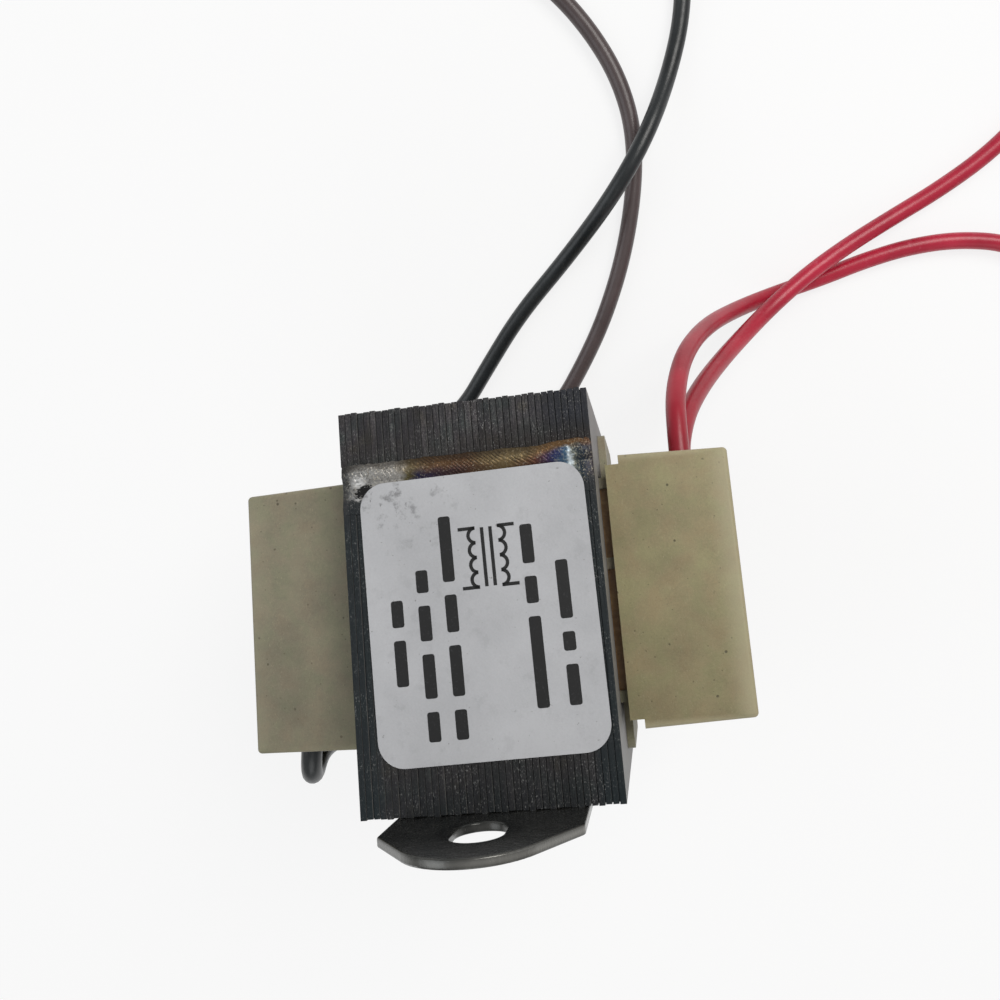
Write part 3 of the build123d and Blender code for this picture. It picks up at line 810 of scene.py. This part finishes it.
def weld_metal(name):
    """Melted steel, bare at the left and heat-tinted from straw to blue towards the right, with a
    painted streak of light by the right end, painted highlights on the ripple crests, painted glints
    and painted shade at the left end, and soot with painted shade in the ripple valleys.
    """
    f = Finish(name)
    place = f.upright()
    x, _, z = f.axes(place)
    drift = f.noise(f.stretched(place, (0.8, 0.8, 1.6)), 1.0, 4.0)
    shifted = f.plus(x, f.times(f.minus(drift, 0.5), 1.8))
    across = f.math("DIVIDE", f.plus(shifted, SIDE / MM), 2 * SIDE / MM)
    upper = f.colours(
        across,
        (0.00, srgb(72, 72, 71)), (0.07, srgb(146, 145, 142)), (0.22, srgb(158, 154, 148)),
        (0.28, srgb(112, 98, 72)), (0.36, srgb(104, 78, 52)), (0.50, srgb(88, 63, 43)),
        (0.60, srgb(116, 99, 70)), (0.72, srgb(121, 106, 76)), (0.82, srgb(118, 90, 60)),
        (0.93, srgb(112, 84, 56)), (1.00, srgb(84, 60, 46)))
    # The near-white stop at 0.912 of this ramp is a painted highlight on the melt's curve by the
    # right end.
    lower = f.colours(
        across,
        (0.00, srgb(62, 62, 61)), (0.06, srgb(142, 141, 139)), (0.24, srgb(154, 151, 146)),
        (0.27, srgb(86, 78, 44)), (0.31, srgb(42, 42, 68)), (0.42, srgb(62, 45, 50)),
        (0.52, srgb(78, 56, 44)), (0.66, srgb(106, 90, 62)), (0.77, srgb(94, 62, 48)),
        (0.82, srgb(66, 48, 70)), (0.865, srgb(46, 58, 96)), (0.897, srgb(74, 104, 128)),
        (0.912, srgb(216, 228, 234)), (0.924, srgb(98, 104, 98)), (0.950, srgb(38, 48, 58)),
        (1.00, srgb(58, 54, 58)))
    blue_end = f.step(x, *BLUE_X)
    rise = f.step(
        f.plus(z, f.times(drift, 0.9)),
        f.plus(TINT_Z[0], f.times(blue_end, BLUE_RISE_MM[0])),
        f.plus(TINT_Z[1], f.times(blue_end, BLUE_RISE_MM[1])))
    colour = f.mix(rise, lower, upper)
    grit = f.noise(place, 5.0, 4.0, 0.65)
    bare = f.inverse(f.step(shifted, *BARE_X))
    crater = f.step(shifted, *CRATER_X)
    pitted = f.larger(bare, f.times(crater, 0.15))
    pale = f.times(f.step(grit, 0.54, 0.68), f.plus(0.12, f.times(pitted, 0.5)))
    colour = f.mix(pale, colour, srgb(205, 203, 199))
    dark = f.step(f.noise(place, 3.6, 4.0, 0.7), 0.54, 0.66)
    dark = f.times(dark, f.plus(0.38, f.times(pitted, 0.25)))
    colour = f.mix(dark, colour, srgb(42, 37, 33))
    valley = f.add("ShaderNodeAttribute", {}, "Fac", attribute_name="valley")
    # Darker in the ripple valleys: soot, and painted shade in the hollows.
    soot = f.times(f.step(valley, 0.15, 0.85), f.minus(0.8, f.times(pitted, 0.4)))
    colour = f.mix(soot, colour, srgb(30, 24, 20))
    # Painted highlight on the ripple crests.
    crest_highlight = f.times(f.step(f.inverse(valley), 0.9, 1.0), f.step(grit, 0.50, 0.64))
    colour = f.stain(colour, crest_highlight, 0.28, srgb(196, 186, 156))
    shade = f.noise(f.stretched(place, (0.9, 0.9, 1.4)), 1.1, 4.0, 0.65)
    rim = f.step(f.plus(z, f.times(shade, 1.4)), *RIM_Z)
    rim = f.times(rim, f.inverse(f.times(f.step(x, *RIM_FADE_X), 0.7)))
    colour = f.stain(colour, rim, 0.55, srgb(50, 43, 36))
    # Painted shade on the left end, where the weld's end curves away.
    left_end_shade = f.inverse(f.step(f.plus(x, shade), *LEFT_SHADE_X))
    colour = f.stain(colour, left_end_shade, 0.7, srgb(52, 52, 51))
    glint_high = f.spot(x, z, centre=(-10.9, 32.4), reach=(1.2, 1.0))
    glint_low = f.spot(x, z, centre=(-11.3, 30.2), reach=(1.2, 1.3))
    glint = f.times(f.larger(glint_high, glint_low), f.step(shade, 0.38, 0.56))
    colour = f.stain(colour, glint, 0.85, srgb(232, 231, 229))
    far_down = f.plus(z, f.times(f.minus(f.noise(place, 0.9, 4.0, 0.7), 0.5), 4.0))
    sheets, relief = sheet_edges(f, place, x, z, E_SEED)
    border = f.inverse(f.step(far_down, *BORDER_Z))
    colour = f.mix(border, colour, sheets)
    blot = f.noise(f.stretched(place, (1.0, 1.0, 1.5)), 3.2, 4.0, 0.7)
    slanted = f.minus(z, f.times(x, SCAR_SLOPE))
    scar = f.spot(x, slanted, centre=(-10.5, 35.2), reach=(2.0, 1.35))
    scar = f.step(f.times(scar, f.times(blot, 1.7)), 0.40, 0.60)
    colour = f.mix(scar, colour, srgb(12, 11, 11))
    plain = f.larger(border, scar)
    f.set(
        Base_Color=colour,
        Metallic=f.minus(0.75, f.times(plain, 0.45)),
        Roughness=f.plus(f.plus(0.26, f.times(grit, 0.3)), f.times(plain, 0.13)),
        Normal=f.bump(f.mix(border, grit, relief), 0.06 * MM, 0.7),
        Specular_IOR_Level=0.35)
    return f


def bead_metal(name):
    """Plain weld metal with brown heat tint and soot."""
    f = Finish(name)
    place = f.upright()
    tint = f.noise(place, 0.7, 4.0)
    grit = f.noise(place, 4.0, 4.0, 0.7)
    colour = f.colours(
        tint, (0.36, srgb(70, 62, 54)), (0.50, srgb(112, 102, 88)), (0.64, srgb(136, 132, 126)))
    soot = f.step(grit, 0.52, 0.66)
    colour = f.stain(colour, soot, 0.55, srgb(36, 33, 31))
    f.set(
        Base_Color=colour,
        Metallic=0.7,
        Roughness=f.plus(0.28, f.times(grit, 0.3)),
        Normal=f.bump(grit, 0.05 * MM, 0.6))
    return f


# Foot: how far the slot's middle is from the core's face, and the zone round that middle
SLOT_REACH_MM = 6.35
SLOT_ZONE = (3.4, 4.4)
# Where the painted highlight on the edge band grows towards the right, and how far the band reaches
# from the plate's middle
EDGE_LIGHT_X = (0.0, 8.0)
EDGE_REACH_MM = 0.62


def foot_steel(name):
    """Dark oiled strip steel with fine scratches, and rolled edges lightened: bare steel with a
    painted highlight that grows towards the right and fades round the slot.
    """
    f = Finish(name)
    place = f.upright()
    x, y, z = f.axes(place)
    mottle = f.noise(place, 0.5, 5.0)
    scratch = f.noise(f.stretched(place, (0.5, 6.0, 1.0)), 1.2, 3.0)
    colour = f.colours(
        f.plus(f.times(mottle, 0.7), f.times(scratch, 0.3)),
        (0.3, srgb(20, 22, 22)), (0.5, srgb(33, 35, 34)), (0.68, srgb(58, 58, 56)))
    # Painted highlight on the rolled edge band, on top of bare edge steel: fainter round the slot,
    # stronger towards the right.
    rim = f.near(z, -FOOT_THICKNESS / MM / 2, EDGE_REACH_MM)
    off_slot = f.minus(f.absolute(y), FACE / MM + SLOT_REACH_MM)
    from_slot = f.math("SQRT", f.plus(f.math("POWER", x, 2.0), f.math("POWER", off_slot, 2.0)))
    rim = f.times(rim, f.plus(0.3, f.times(f.step(from_slot, *SLOT_ZONE), 0.7)))
    wear_and_highlight = f.step(f.plus(x, f.times(mottle, 8.0)), *EDGE_LIGHT_X)
    wear_and_highlight = f.plus(0.5, f.times(wear_and_highlight, 0.45))
    colour = f.stain(colour, rim, wear_and_highlight, srgb(132, 131, 127))
    specks = f.step(f.noise(place, 4.2, 2.0), 0.70, 0.76)
    colour = f.stain(colour, specks, 0.6, srgb(120, 119, 116))
    f.set(
        Base_Color=colour,
        Metallic=0.6,
        Roughness=f.plus(0.12, f.times(scratch, 0.26)),
        Normal=f.bump(f.plus(scratch, mottle), 0.03 * MM, 0.5))
    return f


# Covers and bobbin: how far inside the covers' edges the painted highlight begins and where it is
# full
COVER_LIGHT_X_MM = (3.0, 0.1)
COVER_LIGHT_Y_MM = (1.0, 0.3)
COVER_LIGHT_Z_MM = (1.0, 0.2)
COVER_SHADE_Z = (4.0, 27.0)
WHITE = srgb(255, 255, 255)


def nylon(name, light, dark, edge_highlight):
    """Glass-filled nylon: beige in faint green and brown patches, with fibres, specks and pits,
    painted shade towards the bottom and, when asked for, a painted highlight along the edges.
    """
    f = Finish(name)
    place = f.upright()
    x, y, z = f.axes(place)
    cloud = f.noise(place, 0.22, 4.0)
    grain = f.noise(place, 3.4, 4.0, 0.65)
    fibre = f.noise(f.stretched(place, (1.0, 1.0, 0.35)), 9.0, 2.0)
    blend = f.plus(f.times(cloud, 0.7), f.times(grain, 0.3))
    colour = f.colours(blend, (0.34, dark), (0.66, light))
    fine = f.colours(f.noise(place, 8.0, 3.0, 0.7), (0.32, srgb(240, 240, 239)), (0.62, WHITE))
    colour = f.tinted(colour, fine)
    patch = f.colours(
        f.noise(place, 0.38, 3.0),
        (0.38, srgb(250, 255, 246)), (0.52, srgb(255, 253, 249)), (0.64, srgb(255, 248, 244)))
    colour = f.tinted(colour, patch)
    colour = f.stain(colour, f.step(fibre, 0.62, 0.76), 0.3, srgb(186, 178, 148))
    specks = f.inverse(f.step(f.cells(place, 1.35), 0.07, 0.16))
    specks = f.times(specks, f.step(f.noise(place, 1.9, 2.0), 0.44, 0.62))
    pits = f.inverse(f.step(f.cells(place, 0.62), 0.06, 0.12))
    pits = f.times(pits, f.step(f.noise(place, 0.9, 2.0), 0.44, 0.56))
    specks = f.larger(f.times(specks, 0.55), f.times(pits, 0.8))
    colour = f.mix(specks, colour, srgb(70, 63, 46))
    dirt = f.step(f.noise(place, 1.3, 4.0, 0.65), 0.66, 0.76)
    colour = f.stain(colour, dirt, 0.3, srgb(96, 88, 68))
    shaded = f.colours(f.step(z, *COVER_SHADE_Z), (0.0, srgb(236, 236, 234)), (1.0, WHITE))
    colour = f.tinted(colour, shaded)
    # Painted highlight along the covers' edges, paler towards each edge.
    if edge_highlight:
        def outer(value, edge, light_inset):
            return f.step(f.absolute(value), edge / MM - light_inset[0], edge / MM - light_inset[1])

        middle = (COVER_LOW.z + COVER_HIGH.z) / 2
        outer_x = outer(x, COVER_HIGH.x, COVER_LIGHT_X_MM)
        outer_y = outer(y, COVER_HIGH.y, COVER_LIGHT_Y_MM)
        outer_z = outer(f.minus(z, middle / MM), COVER_HIGH.z - middle, COVER_LIGHT_Z_MM)
        edge = f.larger(f.times(outer_x, outer_y), f.times(outer_y, outer_z))
        edge = f.larger(edge, f.times(outer_x, outer_z))
        colour = f.stain(colour, edge, edge_highlight, srgb(192, 185, 156))
    f.set(
        Base_Color=colour,
        Roughness=f.plus(0.42, f.times(grain, 0.2)),
        Normal=f.bump(f.minus(f.times(grain, 0.5), f.times(specks, 0.6)), 0.06 * MM, 0.5),
        Subsurface_Weight=0.12,
        Subsurface_Radius=(1.0, 0.85, 0.6),
        Subsurface_Scale=1.2 * MM,
        Specular_IOR_Level=0.4)
    return f


def coil_tape(name):
    """Amber polyester tape, a little wrinkled along the turns."""
    f = Finish(name)
    place = f.upright()
    wrinkle = f.noise(f.stretched(place, (0.5, 0.5, 1.6)), 1.0, 4.0)
    stain = f.noise(place, 0.45, 4.0)
    colour = f.colours(
        f.plus(f.times(wrinkle, 0.45), f.times(stain, 0.55)),
        (0.3, srgb(122, 84, 44)), (0.52, srgb(152, 114, 68)), (0.72, srgb(178, 142, 94)))
    f.set(
        Base_Color=colour,
        Roughness=f.plus(0.26, f.times(stain, 0.22)),
        Normal=f.bump(wrinkle, 0.15 * MM, 0.6))
    return f


# Windings
WINDING_PITCH_MM = 0.25


def magnet_wire(name):
    """Layer-wound enamelled copper wire."""
    f = Finish(name)
    place = f.upright()
    z = f.axes(place)[2]
    turns = f.math("SINE", f.times(z, 2 * pi / WINDING_PITCH_MM))
    tone = f.noise(f.stretched(place, (0.2, 0.2, 4.0)), 1.0, 2.0)
    f.set(
        Base_Color=f.colours(tone, (0.3, srgb(108, 44, 22)), (0.7, srgb(160, 78, 40))),
        Metallic=0.7,
        Roughness=f.plus(0.25, f.times(tone, 0.2)),
        Normal=f.bump(turns, 0.06 * MM))
    return f


# Label
SMUDGED_X = (-7.0, 1.0)
SMUDGED_Z = (24.0, 31.0)


def label_paper(name):
    """Pale coated paper with faint fibres, handling marks, soot by the upper left corner and specks.
    """
    f = Finish(name)
    place = f.upright()
    x, _, z = f.axes(place)
    fibre = f.noise(place, 6.0, 4.0, 0.6)
    shade = f.noise(place, 0.12, 3.0)
    blend = f.plus(f.times(fibre, 0.3), f.times(shade, 0.7))
    colour = f.colours(blend, (0.35, srgb(174, 175, 178)), (0.65, srgb(190, 191, 194)))
    corner = f.times(f.step(z, *SMUDGED_Z), f.inverse(f.step(x, *SMUDGED_X)))
    smudge = f.step(f.noise(place, 0.7, 5.0, 0.7), 0.53, 0.68)
    smudge = f.times(smudge, f.plus(0.12, f.times(corner, 0.6)))
    colour = f.mix(smudge, colour, srgb(112, 112, 113))
    soot = f.step(f.noise(f.stretched(place, (1.0, 1.0, 0.7)), 1.5, 4.0, 0.7), 0.60, 0.70)
    colour = f.stain(colour, f.times(soot, corner), 0.6, srgb(78, 77, 76))
    specks = f.step(f.noise(place, 2.4, 2.0), 0.72, 0.77)
    colour = f.stain(colour, specks, 0.6, srgb(112, 110, 108))
    f.set(
        Base_Color=colour,
        Roughness=f.plus(0.48, f.times(fibre, 0.15)),
        Normal=f.bump(f.plus(fibre, shade), 0.03 * MM, 0.5),
        Specular_IOR_Level=0.3)
    return f


def print_ink(name):
    """Black ribbon print, thin in places."""
    f = Finish(name)
    place = f.upright()
    wear_and_highlight = f.noise(place, 4.0, 4.0, 0.7)
    f.set(
        Base_Color=f.colours(wear_and_highlight, (0.58, srgb(13, 13, 14)), (0.80, srgb(58, 59, 61))),
        Roughness=f.plus(0.4, f.times(wear_and_highlight, 0.2)))
    return f


# Lead insulation: where along the part's X the painted light on the red leads begins and where it is
# full, and by how much it raises each colour
LEAD_LIGHT_FROM = 0.024
LEAD_LIGHT_FULL = 0.046
NO_LEAD_LIGHT = (1.0, 1.0, 1.0, 1.0)
RED_LEAD_LIGHT = (1.42, 1.6, 1.8, 1.0)


def insulation(name, deep, full, dusty, lit_far):
    """Soft PVC lead insulation with draw marks and dust, and painted light that raises the colour
    where it runs out to the right.
    """
    f = Finish(name)
    place = f.add("ShaderNodeTexCoord", {}, "Object")
    cloud = f.noise(place, 130.0, 3.0)
    grain = f.noise(place, 2600.0, 3.0)
    colour = f.colours(cloud, (0.3, deep), (0.7, full))
    dust = f.step(f.noise(place, 900.0, 4.0, 0.7), 0.60, 0.74)
    colour = f.stain(colour, dust, 0.22, dusty)
    # Painted light: the colour is raised where the lead runs out to the right.
    out_right = f.step(f.axes(place)[0], LEAD_LIGHT_FROM, LEAD_LIGHT_FULL)
    colour = f.mix(out_right, colour, f.tinted(colour, lit_far))
    f.set(
        Base_Color=colour,
        Roughness=f.plus(0.24, f.times(grain, 0.2)),
        Normal=f.bump(f.plus(f.times(cloud, 2.0), grain), 0.03 * MM, 0.5))
    return f


def tinned_copper(name):
    """Bright tinned strands, a little tarnished."""
    f = Finish(name)
    place = f.add("ShaderNodeTexCoord", {}, "Object")
    tarnish = f.noise(place, 900.0, 4.0)
    f.set(
        Base_Color=f.colours(
            tarnish,
            (0.35, srgb(146, 140, 132)), (0.55, srgb(188, 186, 182)), (0.75, srgb(206, 204, 200))),
        Metallic=0.95,
        Roughness=f.plus(0.18, f.times(tarnish, 0.3)),
        Normal=f.bump(tarnish, 0.02 * MM, 0.5))
    return f


# Each finish on its pieces
nodes = frame["nodes"]
lamination_steel("lamination_steel_e", E_SEED).on(nodes["e_lamination_stack"])
lamination_steel("lamination_steel_i", I_SEED).on(nodes["i_lamination_stack"])
weld_metal("weld_metal").on(front_seam, back_seam, spatter)
foot_steel("foot_steel").on(nodes["foot_plate"])
bead_metal("bead_metal").on(left_bead, right_bead)
# The left cover's colours are a darker, greyer copy of the right cover's: painted shade on the left
# cover and painted light on the right.
nylon("cover_nylon_lit_right", srgb(162, 152, 118), srgb(140, 131, 101), edge_highlight=0.42).on(
    nodes["coil_cover_right"])
nylon("cover_nylon_shaded_left", srgb(148, 142, 121), srgb(126, 121, 104), edge_highlight=0.12).on(
    nodes["coil_cover_left"])
nylon("bobbin_nylon", srgb(160, 154, 134), srgb(132, 126, 106), edge_highlight=0.0).on(
    nodes["bobbin"])
coil_tape("coil_tape").on(nodes["primary_tape"], nodes["secondary_tape"])
magnet_wire("magnet_wire").on(nodes["primary_winding"], nodes["secondary_winding"])
label_paper("label_paper").on(nodes["label"])
print_ink("label_ink").on(print_bars)
insulation("black_insulation", srgb(28, 31, 33), srgb(42, 46, 48), srgb(86, 89, 90), NO_LEAD_LIGHT).on(
    lead_pieces["black_lead"])
insulation("brown_insulation", srgb(72, 61, 61), srgb(89, 78, 78), srgb(124, 117, 115), NO_LEAD_LIGHT).on(
    lead_pieces["brown_lead"])
insulation("red_insulation", srgb(144, 20, 38), srgb(172, 32, 52), srgb(198, 100, 112), RED_LEAD_LIGHT).on(
    lead_pieces["red_lead_front"], lead_pieces["red_lead_rear"])
tinned_copper("tinned_strands").on(*strand_pieces.values())

# Floor: plain white where it is seen, and a soft grey for the light it throws back
HALF_FLOOR = 2.0
FLOOR_GREY = 0.94
FLOOR_GLOW = 0.8
GLOW_FROM = 0.30
GLOW_FULL = 1.10

corners = [(x * HALF_FLOOR, y * HALF_FLOOR, 0.0) for x, y in ((-1, -1), (1, -1), (1, 1), (-1, 1))]
floor_data = bpy.data.meshes.new("floor")
floor_data.from_pydata(corners, [], [(0, 1, 2, 3)])
floor = bpy.data.objects.new("floor", floor_data)
bpy.context.scene.collection.objects.link(floor)


def floor_white(name):
    """Matt floor that glows for direct, mirrored and passing rays, more so far from the part."""
    f = Finish(name)
    f.set(
        Base_Color=(FLOOR_GREY, FLOOR_GREY, FLOOR_GREY, 1.0),
        Roughness=0.9,
        Specular_IOR_Level=0.0)
    place = f.add("ShaderNodeTexCoord", {}, "Object")
    away = f.add("ShaderNodeVectorMath", {0: place}, "Value", operation="LENGTH")
    glow = f.add(
        "ShaderNodeMapRange",
        {
            "Value": away,
            "From Min": GLOW_FROM,
            "From Max": GLOW_FULL,
            "To Min": FLOOR_GLOW,
            "To Max": 1.0,
        },
        interpolation_type="SMOOTHSTEP")
    rays = f.tree.nodes.new("ShaderNodeLightPath").outputs
    seen = f.larger(rays["Is Camera Ray"], rays["Is Glossy Ray"])
    seen = f.larger(seen, rays["Is Transmission Ray"])
    light = f.add("ShaderNodeEmission", {})
    surface = f.add(
        "ShaderNodeMixShader", {0: f.times(seen, glow), 1: f.shader.outputs[0], 2: light})
    f.feed(f.tree.nodes["Material Output"].inputs["Surface"], surface)
    return f


floor_white("floor").on(floor)

# Light
AMBIENT = 0.36
world = bpy.data.worlds.new("studio")
bpy.context.scene.world = world
world.use_nodes = True
world_tree = world.node_tree
sky = world_tree.nodes["Background"]
sky.inputs["Color"].default_value = (1.0, 1.0, 1.0, 1.0)
sky_strength = world_tree.nodes.new("ShaderNodeMapRange")
sky_strength.inputs["To Min"].default_value = AMBIENT
sky_strength.inputs["To Max"].default_value = 1.0
camera_only = world_tree.nodes.new("ShaderNodeLightPath")
world_tree.links.new(camera_only.outputs["Is Camera Ray"], sky_strength.inputs["Value"])
world_tree.links.new(sky_strength.outputs[0], sky.inputs["Strength"])


def softbox(name, place, aim, size, level, colour):
    """Square lamp that lights a facing white surface at its aim to the given level."""
    place, aim = Vector(place), Vector(aim)
    data = bpy.data.lights.new(name, "AREA")
    data.shape = "SQUARE"
    data.size = size
    data.energy = level * pi * pi * (place - aim).length_squared
    data.color = colour
    lamp = bpy.data.objects.new(name, data)
    lamp.location = place
    lamp.rotation_euler = (aim - place).to_track_quat("-Z", "Y").to_euler()
    bpy.context.scene.collection.objects.link(lamp)


AIM = (0.0, 0.01, 0.04)
softbox("key", (0.21, 0.23, 0.33), AIM, size=0.22, level=0.55, colour=(1.0, 0.975, 0.94))
softbox("fill", (-0.42, 0.10, 0.38), AIM, size=0.40, level=0.22, colour=(0.90, 0.95, 1.0))
softbox("front", (0.02, -0.45, 0.40), AIM, size=0.35, level=0.14, colour=(1.0, 1.0, 1.0))

bpy.context.scene.view_settings.view_transform = "Standard"
